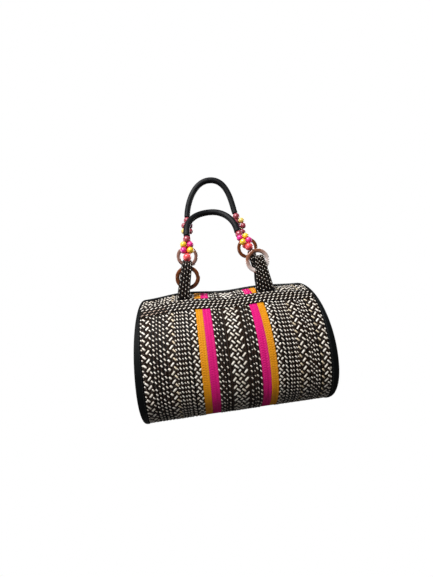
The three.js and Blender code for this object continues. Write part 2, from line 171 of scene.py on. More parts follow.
def cloth(name, light, deep, fixed, pitch, gloss):  # black cloth, woven along its own map
    look = clothLook
    paint = Paint(name, fixed)
    spot = paint.node("ShaderNodeUVMap", {"uv_map": "cloth"})
    apart = paint.node("ShaderNodeSeparateXYZ", None, {"Vector": spot})
    wave = 2 * math.pi / pitch
    weaving = paint.maths("SINE", apart * wave) * paint.maths("SINE", apart.other("Y") * wave)
    wear = paint.noise(paint.place(), look["wearScale"], look["wearDetail"])
    colour = paint.mix(weaving * look["weaveShare"] + wear * look["wearShare"], deep, light)
    rough = gloss + wear * look["rougher"]
    return paint.finish(colour, rough, weaving + wear, look["depth"], look["strength"])


woodLook = dict(
    bandStretch=(1.0, 3.0, 4.0), bandScale=45.0, bandDetail=5.0, bandRoughness=0.6,
    poreStretch=(1.0, 6.0, 9.0), poreScale=260.0, poreDetail=2.0, bandShare=1.5, base=-0.3, poreShare=0.25,
    besidePaintedHighlight=0.5, rougher=0.12, depth=0.08 * mm, strength=0.3,
)


def wood(name, light, deep, fixed, gloss, paintedHighlight=None):  # turned wood: bands of grain, and one side may take a painted highlight, paler towards where the light falls
    look = woodLook
    paint = Paint(name, fixed)
    place = paint.place()
    stretched = paint.vectors("MULTIPLY", place, look["bandStretch"])
    bands = paint.noise(stretched, look["bandScale"], look["bandDetail"], look["bandRoughness"])
    stretched = paint.vectors("MULTIPLY", place, look["poreStretch"])
    pores = paint.noise(stretched, look["poreScale"], look["poreDetail"])
    share = bands * look["bandShare"] + look["base"] + pores * look["poreShare"]
    # painted highlight: the colour turns paler towards the side of the ring that the light falls on
    if paintedHighlight:
        away = paint.vectors("SUBTRACT", place, paintedHighlight["centre"])
        side = paint.vectors("DOT_PRODUCT", away, paintedHighlight["way"], output="Value")
        share = share * look["besidePaintedHighlight"] + side * paintedHighlight["steep"] + paintedHighlight["share"]
    colour = paint.mix(share, deep, light)
    return paint.finish(colour, gloss + pores * look["rougher"], pores, look["depth"], look["strength"])


varnishLook = dict(
    cloudScale=180.0, fineStretch=(1.0, 1.0, 0.25), fineScale=900.0, fineDetail=2.0, cloudShare=0.9,
    fineShare=0.3, base=-0.1, rougher=0.15, depth=0.05 * mm, strength=0.25,
)


def varnished(name, light, deep, fixed, gloss):  # dyed bead under varnish
    look = varnishLook
    paint = Paint(name, fixed)
    cloud = paint.noise(paint.place(), look["cloudScale"])
    stretched = paint.vectors("MULTIPLY", paint.place(), look["fineStretch"])
    fine = paint.noise(stretched, look["fineScale"], look["fineDetail"])
    colour = paint.mix(cloud * look["cloudShare"] + fine * look["fineShare"] + look["base"], deep, light)
    return paint.finish(colour, gloss + fine * look["rougher"], fine, look["depth"], look["strength"])


plainLook = dict(detail=4.0, rougher=0.1, depth=0.1 * mm, strength=0.4)


def plain(name, light, deep, fixed, scale, gloss):  # thread, and the dark ground between floats
    look = plainLook
    paint = Paint(name, fixed)
    cloud = paint.noise(paint.place(), scale, look["detail"])
    colour = paint.mix(cloud, deep, light)
    return paint.finish(colour, gloss + cloud * look["rougher"], cloud, look["depth"], look["strength"])


dull = {"Specular IOR Level": 0.1}
matt = {"Specular IOR Level": 0.2}
sheen = {"Specular IOR Level": 0.26}
soft = {"Specular IOR Level": 0.4}
polished = {"Coat Weight": 0.4, "Coat Roughness": 0.12}
glossy = {"Coat Weight": 0.8, "Coat Roughness": 0.06}
beadCoat = {"Coat Weight": 0.35, "Coat Roughness": 0.18}
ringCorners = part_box("ring_front_right")
ringMiddle = tuple((low + high) / 2 for low, high in zip(*ringCorners))
# painted highlight on the front right ring: its side towards the lamp is drawn paler, standing for the
# reflection on its gloss
paintedHighlightSide = dict(centre=ringMiddle, way=(0.5, 0.0, -0.87), steep=42.0, share=0.25)
finishRows = (  # maker, name, light and deep screen colour, fixed sockets, then the maker's own numbers
    (cane, "creamCane", (255, 250, 242), (229, 216, 197), soft, 0.42),
    (cane, "tanCane", (240, 226, 200), (204, 184, 152), soft, 0.42),
    (cane, "browned", (238, 214, 196), (206, 178, 160), soft, 0.42),
    (cane, "darkCane", (44, 25, 8), (20, 11, 4), sheen, 0.24),
    (cane, "orangeCane", (226, 149, 5), (219, 140, 3), sheen, 0.45),
    (cane, "pinkCane", (222, 9, 122), (214, 6, 114), sheen, 0.45),
    (plain, "caneShade", (12, 9, 7), (6, 4, 4), matt, 400.0, 0.6),
    (plain, "orangeShade", (221, 142, 4), (213, 133, 3), sheen, 400.0, 0.6),
    (plain, "pinkShade", (216, 7, 116), (208, 5, 108), sheen, 400.0, 0.6),
    (cloth, "blackCloth", (14, 19, 20), (6, 8, 9), dull, 1.1 * mm, 0.5),
    (cloth, "gripCloth", (21, 23, 27), (8, 8, 10), matt, 1.4 * mm, 0.45),
    (plain, "blackThread", (30, 31, 32), (12, 12, 13), soft, 900.0, 0.5),
    (plain, "cordThread", (70, 28, 30), (36, 14, 16), soft, 900.0, 0.5),
    (wood, "brownWood", (132, 70, 30), (72, 32, 12), polished, 0.22),
    (wood, "greyWood", (160, 122, 110), (104, 68, 54), polished, 0.22),
    # this ring's pale light colour is partly a painted highlight, the lamp's reflection on its gloss
    (wood, "roseWood", (250, 236, 230), (142, 90, 66), glossy, 0.14, paintedHighlightSide),
    (varnished, "coralBead", (244, 92, 92), (214, 58, 70), beadCoat, 0.32),
    # painted shade: darker copies of the coral, pink and yellow beads, for beads that stand in shadow
    (varnished, "maroonBead", (172, 72, 84), (122, 40, 56), beadCoat, 0.32),
    (varnished, "yellowBead", (250, 214, 58), (228, 180, 28), beadCoat, 0.32),
    (varnished, "pinkBead", (240, 54, 150), (204, 24, 116), beadCoat, 0.32),
    (varnished, "plumBead", (120, 24, 74), (76, 12, 48), beadCoat, 0.32),
    (varnished, "paleBead", (236, 212, 118), (206, 172, 74), beadCoat, 0.32),
)
finishes = {name: maker(name, tint(*light), tint(*deep), fixed, *own)
            for maker, name, light, deep, fixed, *own in finishRows}
print("finishes made:", len(finishes))


# the barrel's surface, as the solids have it
barrel = dict(  # lengths in m, turns in degrees from the top over the front
    halfLength=150 * mm, halfDepth=120 * mm, height=197 * mm, widest=76 * mm, baseHalf=50 * mm, wall=2.5 * mm,
    borderAtSides=12 * mm, borderAtTop=3 * mm, stripesEnd=56 * mm, seam=0.15 * mm, mouthTurn=1.9, lipTurn=5.0,
    bandTop=20.0, bandBottom=33.0, sideTurn=90.0, cornerTurn=170.0, wallStep=2.0, shellStep=8 * mm,
    arcStep=0.25,
    topLine=((-150, -4), (-72, 3), (0, -1.5), (66, 2), (150, -1.5)),  # x and lift in mm
)
wallEnd = barrel["halfLength"] - barrel["borderAtSides"]


def eased(share):
    share = min(max(share, 0.0), 1.0)
    return share * share * (3 - 2 * share)


def topLift(x):
    rows = barrel["topLine"]
    for (leftX, leftLift), (rightX, rightLift) in zip(rows, rows[1:]):
        if x <= rightX * mm:
            return (leftLift + (rightLift - leftLift) * eased((x / mm - leftX) / (rightX - leftX))) * mm
    return 0.0


def section(turn):  # y, z and the outward normal of the plain section, turning from the top over the front
    back = turn > 180
    own = 360 - turn if back else turn
    deep, wide, base = barrel["halfDepth"], barrel["widest"], barrel["baseHalf"]
    rise = barrel["height"] - wide
    if own <= barrel["sideTurn"]:
        angle = math.radians(own)
        y, z = deep * math.sin(angle), wide + rise * math.cos(angle)
        normal = Vector((rise * math.sin(angle), deep * math.cos(angle)))
    elif own < barrel["cornerTurn"]:
        angle = math.radians(90 * (own - barrel["sideTurn"]) / (barrel["cornerTurn"] - barrel["sideTurn"]))
        y, z = base + (deep - base) * math.cos(angle), wide * (1 - math.sin(angle))
        normal = Vector((wide * math.cos(angle), -(deep - base) * math.sin(angle)))
    else:
        y, z = base * (180 - own) / (180 - barrel["cornerTurn"]), 0.0
        normal = Vector((0.0, -1.0))
    normal.normalize()
    side = 1 if back else -1
    return side * y, z, Vector((0.0, side * normal.x, normal.y))


def surface(x, turn, offset):  # a point of the barrel and its outward normal
    y, z, normal = section(turn)
    own = min(turn, 360 - turn)
    lift = topLift(x) * math.cos(math.radians(own)) ** 2 if own < barrel["sideTurn"] else 0.0
    return Vector((x, y, z + lift)) + normal * offset, normal


def borderAt(turn):  # the black border is a crescent, widest at the sides
    sides, top = barrel["borderAtSides"], barrel["borderAtTop"]
    return top + (sides - top) * math.sin(math.radians(turn)) ** 2


def besideBorder(x, turn):  # the end panels are drawn out to the border
    start = barrel["stripesEnd"]
    beyond = abs(x) - start
    if beyond <= 0:
        return x
    own = barrel["halfLength"] - borderAt(turn) - start
    return math.copysign(start + beyond * own / (wallEnd - start), x)


arcTurns = [barrel["arcStep"] * step for step in range(round(360 / barrel["arcStep"]) + 1)]
arcLengths = [0.0]
for before, after in zip(arcTurns, arcTurns[1:]):
    arcLengths.append(arcLengths[-1] + math.dist(section(before)[:2], section(after)[:2]))


def turnAt(arc):
    spot = min(max(bisect.bisect_left(arcLengths, arc), 1), len(arcTurns) - 1)
    share = (arc - arcLengths[spot - 1]) / (arcLengths[spot] - arcLengths[spot - 1])
    return arcTurns[spot - 1] + barrel["arcStep"] * share


def arcAt(turn):
    spot = min(int(turn / barrel["arcStep"]), len(arcTurns) - 2)
    share = (turn - arcTurns[spot]) / barrel["arcStep"]
    return arcLengths[spot] + (arcLengths[spot + 1] - arcLengths[spot]) * share


def spread(first, last, step):
    count = max(1, math.ceil(abs(last - first) / step))
    return [first + (last - first) * k / count for k in range(count + 1)]


# meshes
def makeMesh(name, vertices, faces, mapping=None, sharp=40.0):
    mesh = bpy.data.meshes.new(name)
    mesh.from_pydata([tuple(v) for v in vertices], [], faces)
    mesh.calc_loop_triangles()
    volume = 0.0
    for triangle in mesh.loop_triangles:
        a, b, c = (mesh.vertices[k].co for k in triangle.vertices)
        volume += a.dot(b.cross(c))
    if volume < 0:
        mesh.flip_normals()
    layer = mesh.uv_layers.new(name="cloth")
    if mapping:
        for loop in mesh.loops:
            layer.data[loop.index].uv = mapping[loop.vertex_index]
    mesh.polygons.foreach_set("use_smooth", [True] * len(mesh.polygons))
    mesh.set_sharp_from_angle(angle=math.radians(sharp))
    mesh.update()
    return mesh


def makePiece(name, mesh, *finish):
    piece = bpy.data.objects.new(name, mesh)
    scene.collection.objects.link(piece)
    for one in finish:
        mesh.materials.append(finishes[one])
    return piece


def joined(pieces):
    first = pieces[0]
    with bpy.context.temp_override(active_object=first, object=first, selected_objects=pieces,
                                   selected_editable_objects=pieces):
        bpy.ops.object.join()
    return first


def settle(piece, slot, node):
    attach(piece, "root")
    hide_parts(node)


def camel(words):
    first, *rest = words.split("_")
    return first + "".join(word.capitalize() for word in rest)


def skinFaces(count, sides, closed=False):  # quads between each ring of points and the next
    faces = []
    for i in range(count if closed else count - 1):
        here, ahead = i * sides, (i + 1) % count * sides
        for j in range(sides):
            k = (j + 1) % sides
            faces.append((here + j, here + k, ahead + k, ahead + j))
    return faces


def wallMesh(name, xs, turns, inner, outer):  # a closed wall between two depths
    loop = [(turn, outer) for turn in turns] + [(turn, inner) for turn in reversed(turns)]
    spots = [(besideBorder(x, turn), turn, offset) for x in xs for turn, offset in loop]
    vertices = [surface(*spot)[0] for spot in spots]
    mapping = [(x, arcAt(turn)) for x, turn, _ in spots]
    sides = len(loop)
    faces = skinFaces(len(xs), sides)
    last = (len(xs) - 1) * sides
    for j in range(len(turns) - 1):
        corners = (j, j + 1, sides - 2 - j, sides - 1 - j)
        faces.append(corners[::-1])
        faces.append(tuple(last + corner for corner in corners))
    return makeMesh(name, vertices, faces, mapping)


def sweepMesh(name, rings, closed=False, mapping=None, sharp=60.0):  # a skin over rings of points
    vertices = [point for ring in rings for point in ring]
    sides, count = len(rings[0]), len(rings)
    faces = skinFaces(count, sides, closed)
    if not closed:
        faces.append(tuple(reversed(range(sides))))
        faces.append(tuple(range((count - 1) * sides, count * sides)))
    return makeMesh(name, vertices, faces, mapping, sharp)


offEveryPath = Vector((0.31, 0.87, 0.38))  # a way that no path takes


def ringsAlong(points, radii, sides, closed=False):  # round rings along a path
    rings, across = [], offEveryPath
    count = len(points)
    for i, point in enumerate(points):
        before = points[i - 1] if closed or i else points[0]
        after = points[(i + 1) % count] if closed or i < count - 1 else points[-1]
        tangent = (after - before).normalized()
        across = (across - tangent * across.dot(tangent)).normalized()
        other = tangent.cross(across)
        rings.append([point + (across * math.cos(a) + other * math.sin(a)) * radii[i]
                      for a in (2 * math.pi * k / sides for k in range(sides))])
    return rings


# floats and stitches: one tree lays a pillow at each pitch along guide lines
pillowShape = dict(
    across=3, deep=2, endFall=1.8, sideFall=1.3, longer=1.9, blunt=3.6, narrower=0.5, root=0.35,
)


def floatTree():
    tree = bpy.data.node_groups.new("floatsAlongGuides", "GeometryNodeTree")
    face = tree.interface
    face.new_socket("Guides", in_out="INPUT", socket_type="NodeSocketGeometry")
    for name, kind in (("Crown", "Float"), ("Jitter", "Float"), ("Steps", "Int"), ("Seed", "Int"),
                       ("Finish", "Material")):
        face.new_socket(name, in_out="INPUT", socket_type="NodeSocket" + kind)
    face.new_socket("Floats", in_out="OUTPUT", socket_type="NodeSocketGeometry")
    bench = Bench(tree)
    given = bench.node("NodeGroupInput", output="Guides")

    def named(name, kind="FLOAT"):
        return bench.node("GeometryNodeInputNamedAttribute", {"data_type": kind}, {"Name": name})

    def draw(low, high, offset):
        return bench.node("FunctionNodeRandomValue", {"data_type": "FLOAT"},
                          {"Min": low, "Max": high, "Seed": given.other("Seed") + offset})

    lines = bench.node("GeometryNodeMeshToCurve", None, {"Mesh": given})
    spots = bench.node("GeometryNodeResampleCurve", {"mode": "LENGTH"},
                       {"Curve": lines, "Length": named("pitch")})
    shape = pillowShape
    pillow = bench.node("GeometryNodeMeshCube", None, {
        "Size": (1.0, 1.0, 1.0), "Vertices X": given.other("Steps"), "Vertices Y": shape["across"],
        "Vertices Z": shape["deep"]})
    place = bench.node("GeometryNodeInputPosition")
    pillow = bench.node("GeometryNodeStoreNamedAttribute", {"data_type": "FLOAT_VECTOR", "domain": "POINT"},
                        {"Geometry": pillow, "Name": "grain", "Value": place})
    apart = bench.node("ShaderNodeSeparateXYZ", None, {"Vector": place})
    x, y, z = apart, apart.other("Y"), apart.other("Z")
    crest = (1 - x * x * shape["endFall"]) * (1 - y * y * shape["sideFall"])
    shaped = bench.node("ShaderNodeCombineXYZ", None, {  # a flat-topped bar with soft ends and a buried root
        "X": x * (shape["longer"] - x * x * shape["blunt"]),
        "Y": y * (1 - x * x * shape["narrower"]),
        "Z": (z > 0.0) * (crest * given.other("Crown") + shape["root"]) - shape["root"]})
    pillow = bench.node("GeometryNodeSetPosition", None, {"Geometry": pillow, "Position": shaped})
    pillow = bench.node("GeometryNodeSetShadeSmooth", None, {"Geometry": pillow})
    along = bench.node("GeometryNodeInputTangent")
    aim = bench.node("FunctionNodeAxesToRotation", {"primary_axis": "Z", "secondary_axis": "X"},
                     {"Primary Axis": named("facing", "FLOAT_VECTOR"), "Secondary Axis": along})
    jitter = given.other("Jitter")
    lean = bench.node("ShaderNodeCombineXYZ", None, {"Z": named("lean") + draw(-1.0, 1.0, 0) * jitter})
    lean = bench.node("FunctionNodeEulerToRotation", None, {"Euler": lean})
    turned = bench.node("FunctionNodeRotateRotation", {"rotation_space": "LOCAL"},
                        {"Rotation": aim, "Rotate By": lean})
    size = bench.node("ShaderNodeCombineXYZ", None, {
        axis: named(key) * (1 + draw(-1.0, 1.0, 1 + k) * jitter)
        for k, (axis, key) in enumerate((("X", "long"), ("Y", "wide"), ("Z", "high")))})
    laid = bench.node("GeometryNodeInstanceOnPoints", None,
                      {"Points": spots, "Instance": pillow, "Rotation": turned, "Scale": size})
    laid = bench.node("GeometryNodeStoreNamedAttribute", {"data_type": "FLOAT", "domain": "INSTANCE"},
                      {"Geometry": laid, "Name": "tone", "Value": draw(0.0, 1.0, 4)})
    solid = bench.node("GeometryNodeRealizeInstances", None, {"Geometry": laid})
    solid = bench.node("GeometryNodeSetMaterial", None,
                       {"Geometry": solid, "Material": given.other("Finish")})
    bench.node("NodeGroupOutput", None, {"Floats": solid})
    return tree


floats = floatTree()
floatInputs = {item.name: item.identifier for item in floats.interface.items_tree if item.in_out == "INPUT"}
floatSizes = ("pitch", "lean", "long", "wide", "high")
pitchSlack = 0.9999  # a hair short, so that rounding never drops a line's last float
guides = dict(roundStep=5 * mm, alongStep=6 * mm, follow=0.25, close=16)


def runOf(line):
    return sum((after[0] - before[0]).length for before, after in zip(line, line[1:]))


def guideLine(line, count, lean, long, wide, high):  # count pitches fill the line; mm and degrees
    pitch = runOf(line) / count * pitchSlack
    return line, (pitch, math.radians(lean), long * mm, wide * mm, high * mm)


def layFloats(name, lines, finish, seed, crown=1.0, jitter=0.05, steps=4):
    vertices, edges, facing = [], [], []
    numbers = {key: [] for key in floatSizes}
    for line, sizes in lines:
        start = len(vertices)
        vertices += [tuple(point) for point, _ in line]
        edges += [(start + k, start + k + 1) for k in range(len(line) - 1)]
        for _, normal in line:
            facing += tuple(normal)
        for key, value in zip(floatSizes, sizes):
            numbers[key] += [value] * len(line)
    mesh = bpy.data.meshes.new(name)
    mesh.from_pydata(vertices, edges, [])
    mesh.attributes.new("facing", "FLOAT_VECTOR", "POINT").data.foreach_set("vector", facing)
    for key, values in numbers.items():
        mesh.attributes.new(key, "FLOAT", "POINT").data.foreach_set("value", values)
    guide = makePiece(name, mesh)
    layer = guide.modifiers.new("floats", "NODES")
    layer.node_group = floats
    given = dict(Crown=crown, Jitter=jitter, Steps=steps, Seed=seed, Finish=finishes[finish])
    for key, value in given.items():
        layer[floatInputs[key]] = value
    view = bpy.context.evaluated_depsgraph_get()
    result = bpy.data.meshes.new_from_object(guide.evaluated_get(view), depsgraph=view)
    guide.modifiers.remove(layer)
    guide.data = result
    bpy.data.meshes.remove(mesh)
    for spare in [a.name for a in result.attributes if a.name in ("facing", *floatSizes)]:
        result.attributes.remove(result.attributes[spare])
    return guide


def columnX(x, turn):  # a column keeps its line, and follows the border only where it is close
    near = max(0.0, (abs(x) - barrel["stripesEnd"]) / (wallEnd - barrel["stripesEnd"]))
    share = guides["follow"] + (1 - guides["follow"]) * near ** guides["close"]
    return x + (besideBorder(x, turn) - x) * share


def wallLine(x, first, last, offset):  # a guide round the section, between two arc lengths
    turns = [turnAt(arc) for arc in spread(first, last, guides["roundStep"])]
    return [surface(columnX(x, turn), turn, offset) for turn in turns]


def bandLine(turn, first, last, offset):  # a guide along the barrel
    return [surface(besideBorder(x, turn), turn, offset) for x in spread(first, last, guides["alongStep"])]


# woven walls: columns of slanting floats, the cream ones with dark ones between
grouped = (7.1, 7.1, 7.1, 7.1, 10.5)  # steps from one cream float to the next, in mm
sparse = (10.4, 10.4, 10.4, 7.2)
weave = dict(
    crest=1.0, darkCrest=0.8, sunk=-1.06 * mm, shell=-1.1 * mm, seed=11, seedStep=7, jitter=0.06,
    steps=4, darkSteps=3,
    kinds=dict(  # lean in degrees, cream length and width, dark length and width, and strand spacing, in mm
        back=dict(lean=44, cream=(6.0, 2.4), dark=(6.6, 2.5), strand=4.1),
        slash=dict(lean=-44, cream=(6.8, 2.5), dark=(6.8, 2.5), strand=4.1),
        shortBack=dict(lean=44, cream=(4.4, 2.6), dark=(6.0, 2.5), strand=4.1),
        shortSlash=dict(lean=-46, cream=(4.2, 2.3), dark=(5.4, 2.4), strand=4.0),
        longBack=dict(lean=46, cream=(7.0, 2.4), dark=(6.4, 2.4), strand=4.0),
        tanBack=dict(lean=40, cream=(5.8, 2.2), dark=(5.4, 2.0), strand=4.0, finish="tanCane"),
        edgeSlash=dict(lean=-40, cream=(3.6, 2.2), dark=(3.2, 2.0), strand=3.7),
        edgeBack=dict(lean=36, cream=(2.8, 1.6), dark=(2.8, 1.6), strand=3.7),
        dot=dict(lean=36, cream=(4.0, 1.65), dark=(5.0, 1.5), strand=2.3),
        faint=dict(lean=36, cream=(2.8, 1.25), dark=(5.0, 1.5), strand=2.3),
        dash=dict(lean=38, cream=(5.4, 1.55), dark=(5.8, 1.3), strand=2.3),
        groupedDot=dict(lean=36, cream=(4.0, 1.65), dark=(5.0, 1.5), strand=2.4, steps=grouped),
        groupedFaint=dict(lean=36, cream=(2.8, 1.25), dark=(5.0, 1.5), strand=2.4, steps=grouped),
        sparseDot=dict(lean=33, cream=(3.8, 1.7), dark=(4.8, 1.7), strand=2.6, steps=sparse),
        blank=dict(lean=33, cream=(4.8, 1.7), dark=(4.8, 1.7), strand=2.6, finish="darkCane"),
        speck=dict(lean=33, cream=(2.0, 1.1), dark=(4.8, 1.7), strand=2.6, steps=sparse),
    ),
    # x, kind, pitch (0 where the kind has its steps) and place of one cream float down the wall, in mm
    columns=dict(
        panel_left=(
            (-136.9, "edgeBack", 7.4, 0.6), (-134.2, "back", 12.4, 1.1), (-129.5, "slash", 12.4, 6.3),
            (-126.0, "dot", 12.4, 10.7), (-121.1, "groupedDot", 0, 29.6), (-116.4, "groupedFaint", 0, 35.5),
            (-111.3, "groupedDot", 0, 8.1), (-106.1, "groupedDot", 0, 14.0), (-100.6, "shortBack", 12.1, 2.3),
            (-95.9, "slash", 12.1, 8.2), (-91.8, "tanBack", 12.1, 1.6), (-88.9, "faint", 6.8, 4.9),
            (-84.8, "dot", 6.8, 4.6), (-80.2, "faint", 6.8, 5.2), (-76.2, "dot", 6.8, 5.2),
            (-70.3, "dash", 6.8, 5.7), (-64.4, "shortSlash", 11.0, 10.6), (-60.7, "back", 11.0, 5.6),
            (-57.4, "edgeSlash", 11.0, 0.8)),
        panel_middle=(
            (-30.4, "sparseDot", 0, 33.0), (-26.2, "sparseDot", 0, 1.1), (-22.3, "speck", 0, 34.0),
            (-17.6, "sparseDot", 0, 2.3), (-13.4, "blank", 10.4, 0.0), (-9.4, "slash", 11.9, 6.6),
            (-4.9, "longBack", 11.9, 0.2), (-0.8, "shortSlash", 11.9, 6.6), (3.1, "longBack", 11.9, 1.5),
            (8.4, "slash", 11.9, 8.4), (12.6, "blank", 10.4, 4.0), (16.6, "sparseDot", 0, 22.8),
            (21.4, "speck", 0, 30.5), (25.2, "sparseDot", 0, 20.2), (30.3, "sparseDot", 0, 24.8)),
        panel_right=(
            (57.8, "edgeSlash", 10.7, 3.5), (60.2, "back", 10.7, 9.5), (64.1, "shortSlash", 10.7, 4.6),
            (69.9, "dash", 6.65, 4.5), (75.9, "dot", 6.65, 5.2), (80.0, "faint", 6.65, 5.4),
            (85.2, "dot", 6.65, 5.5), (88.9, "faint", 6.65, 5.5), (92.4, "tanBack", 12.2, 6.1),
            (97.1, "slash", 12.2, 12.1), (101.8, "back", 12.2, 5.8), (107.2, "groupedDot", 0, 5.0),
            (110.9, "groupedFaint", 0, 16.0), (114.8, "groupedDot", 0, 27.5), (119.2, "groupedDot", 0, 34.6),
            (125.0, "tanBack", 11.7, 2.2), (129.9, "slash", 11.7, 7.6), (134.4, "back", 11.7, 1.6),
            (136.9, "edgeBack", 7.4, 2.0)),
    ),
)
wallSpans = dict(  # x in mm
    panel_left=(-138, -56), stripe_orange_left=(-56, -45), stripe_pink_left=(-45, -32),
    panel_middle=(-32, 32), stripe_pink_right=(32, 45), stripe_orange_right=(45, 56), panel_right=(56, 138),
)
wrapTurns = spread(barrel["lipTurn"], 360 - barrel["lipTurn"], barrel["wallStep"])
lipArcs = arcAt(wrapTurns[0]), arcAt(wrapTurns[-1])


def wallShell(node, finish):
    first, last = (end * mm for end in wallSpans[node])
    xs = spread(first + barrel["seam"], last - barrel["seam"], barrel["shellStep"])
    return makePiece(camel(node), wallMesh(node, xs, wrapTurns, -barrel["wall"], weave["shell"]), finish)


def columnLines(x, kind, pitch, start):  # guides for the cream and the dark floats of one column
    look = weave["kinds"][kind]
    steps = look.get("steps", (pitch,))
    period = sum(steps) * mm
    slant = math.radians(look["lean"])
    places, at = [], start
    for step in steps:
        count = max(2, round(step / look["strand"]))
        places += [(at + step * k / count, "dark" if k else "cream") for k in range(count)]
        at += step
    lines = dict(cream=[], dark=[])
    for at, shade in places:
        long, wide = look[shade]
        reach = (abs(math.cos(slant)) * long + abs(math.sin(slant)) * wide) / 2 * mm
        first, last = lipArcs[0] + reach, lipArcs[1] - reach
        low = first + (at * mm - first) % period
        count = math.floor((last - low) / period)
        line = wallLine(x * mm, low, low + count * period, weave["sunk"])
        high = weave["crest"] if shade == "cream" else weave["darkCrest"]
        lines[shade].append(guideLine(line, count, look["lean"], long, wide, high))
    return lines


for number, (node, columns) in enumerate(weave["columns"].items()):
    layers = dict(creamCane=[], tanCane=[], darkCane=[])
    for x, kind, pitch, start in columns:
        laid = columnLines(x, kind, pitch, start)
        layers[weave["kinds"][kind].get("finish", "creamCane")] += laid["cream"]
        layers["darkCane"] += laid["dark"]
    parts = [wallShell(node, "caneShade")]
    for layer, (finish, lines) in enumerate(layers.items()):
        if lines:
            seed = weave["seed"] + weave["seedStep"] * number + layer
            steps = weave["darkSteps"] if finish == "darkCane" else weave["steps"]
            parts.append(layFloats(node + finish, lines, finish, seed, jitter=weave["jitter"], steps=steps))
    settle(joined(parts), "cane_braid", node)
print("woven panels laid")

# plain stripes: the same braid in one colour, with low floats
stripe = dict(
    columns=3, lean=48, cover=0.95, wide=2.6, pitch=3.6, high=0.2, sunk=-0.98 * mm, margin=0.2, seed=41,
    crown=0.8, jitter=0.04,
    colours=dict(stripe_orange_left="orange", stripe_pink_left="pink", stripe_pink_right="pink",
                 stripe_orange_right="orange"),
)
for number, (node, colour) in enumerate(stripe["colours"].items()):
    first, last = wallSpans[node]
    width = (last - first - 2 * stripe["margin"]) / stripe["columns"]
    low, high = lipArcs[0] + stripe["pitch"] / 2 * mm, lipArcs[1] - stripe["pitch"] / 2 * mm
    count = round((high - low) / (stripe["pitch"] * mm))
    lines = []
    for k in range(stripe["columns"]):
        lean = stripe["lean"] * (1 if k % 2 else -1)
        long = width / abs(math.sin(math.radians(lean))) * stripe["cover"]
        line = wallLine((first + stripe["margin"] + width * (k + 0.5)) * mm, low, high, stripe["sunk"])
        lines.append(guideLine(line, count, lean, long, stripe["wide"], stripe["high"]))
    laid = layFloats(node + "Floats", lines, colour + "Cane", stripe["seed"] + number, stripe["crown"],
                     stripe["jitter"])
    settle(joined([wallShell(node, colour + "Shade"), laid]), colour + "_braid", node)
print("stripes laid")

# bands along the shoulders
band = dict(  # end and brownedTo in mm, brownedFrom a turn
    inner=0.3 * mm, shell=0.95 * mm, sunk=0.9 * mm, crest=0.6, darkCrest=0.45, end=136.0, seed=61, seedStep=3,
    strands=3, dark=(4.8, 1.8), turnStep=1.0, brownedTo=-98.0, brownedFrom=26.0, brownedWide=0.8,
    rows=(  # turn, lean in degrees, length, width, pitch and start in mm
        (21.8, 40, 5.0, 1.7, 14.0, 0.0), (21.8, -40, 5.0, 1.7, 14.0, 7.0), (25.2, 38, 4.8, 1.6, 7.0, 2.0),
        (28.5, 38, 4.8, 1.6, 7.0, 5.5), (31.8, 38, 4.8, 1.6, 7.0, 2.0)),
)


def bandLines(side):
    lines = dict(creamCane=[], darkCane=[], browned=[])
    for turn, lean, long, wide, pitch, start in band["rows"]:
        own = turn if side == "front" else 360 - turn
        for k in range(band["strands"]):
            first = -band["end"] + (start + pitch * k / band["strands"]) % pitch
            count = math.floor((band["end"] - first) / pitch)
            runs = [("creamCane", first, count, (long, wide, band["crest"]))]
            if k:
                runs = [("darkCane", first, count, (*band["dark"], band["darkCrest"]))]
            elif turn > band["brownedFrom"]:  # the lower rows are browned and thin at one end
                few = math.floor((band["brownedTo"] - first) / pitch)
                beyond = first + (few + 1) * pitch
                runs = [("browned", first, few, (long, wide * band["brownedWide"], band["crest"])),
                        ("creamCane", beyond, count - few - 1, (long, wide, band["crest"]))]
            for finish, low, pitches, size in runs:
                line = bandLine(own, low * mm, (low + pitches * pitch) * mm, band["sunk"])
                lines[finish].append(guideLine(line, pitches, lean, *size))
    return lines


for number, side in enumerate(("front", "back")):
    node = "seam_band_" + side
    turns = spread(barrel["bandTop"], barrel["bandBottom"], band["turnStep"])
    turns = turns if side == "front" else [360 - turn for turn in turns]
    xs = spread(-wallEnd, wallEnd, guides["alongStep"])
    parts = [makePiece(camel(node), wallMesh(node, xs, turns, band["inner"], band["shell"]), "caneShade")]
    for layer, (finish, lines) in enumerate(bandLines(side).items()):
        seed = band["seed"] + band["seedStep"] * number + layer
        parts.append(layFloats(node + finish, lines, finish, seed, jitter=weave["jitter"]))
    settle(joined(parts), "cane_braid", node)
print("seam bands laid")


# black ends and lips
cap = dict(
    rim=((0.6, -3.4), (0.25, -2.6), (0.0, -1.7), (0.15, -0.7), (0.8, -0.1)),  # x from the end, offset, in mm
    border=(  # share of the way from the rim to the wall, offset in mm
        (0.0, 0.25), (0.26, 0.45), (0.62, 0.4), (0.87, 0.2), (0.97, -0.1), (1.0, -0.6), (1.0, -2.5)),
    inside=(2.6, -2.5), borderStart=2.0, rings=(0.9, 0.7, 0.45, 0.2), flatRim=2, flushTurn=165.0, fade=20.0,
    turnStep=3.0, sharp=50.0,
    stitch=dict(share=0.83, long=2.6, wide=0.7, pitch=4.2, high=0.5, offset=0.15, seed=71,
                turns=((1.0, 158.0), (202.0, 359.0))),
)
stitchCrown, stitchJitter = 0.8, 0.04


def flush(turn, offset):  # nothing stands proud where the bag rests
    own = min(turn, 360 - turn)
    share = min(max((cap["flushTurn"] - own) / cap["fade"], 0.0), 1.0)
    return offset * share if offset > 0 else offset


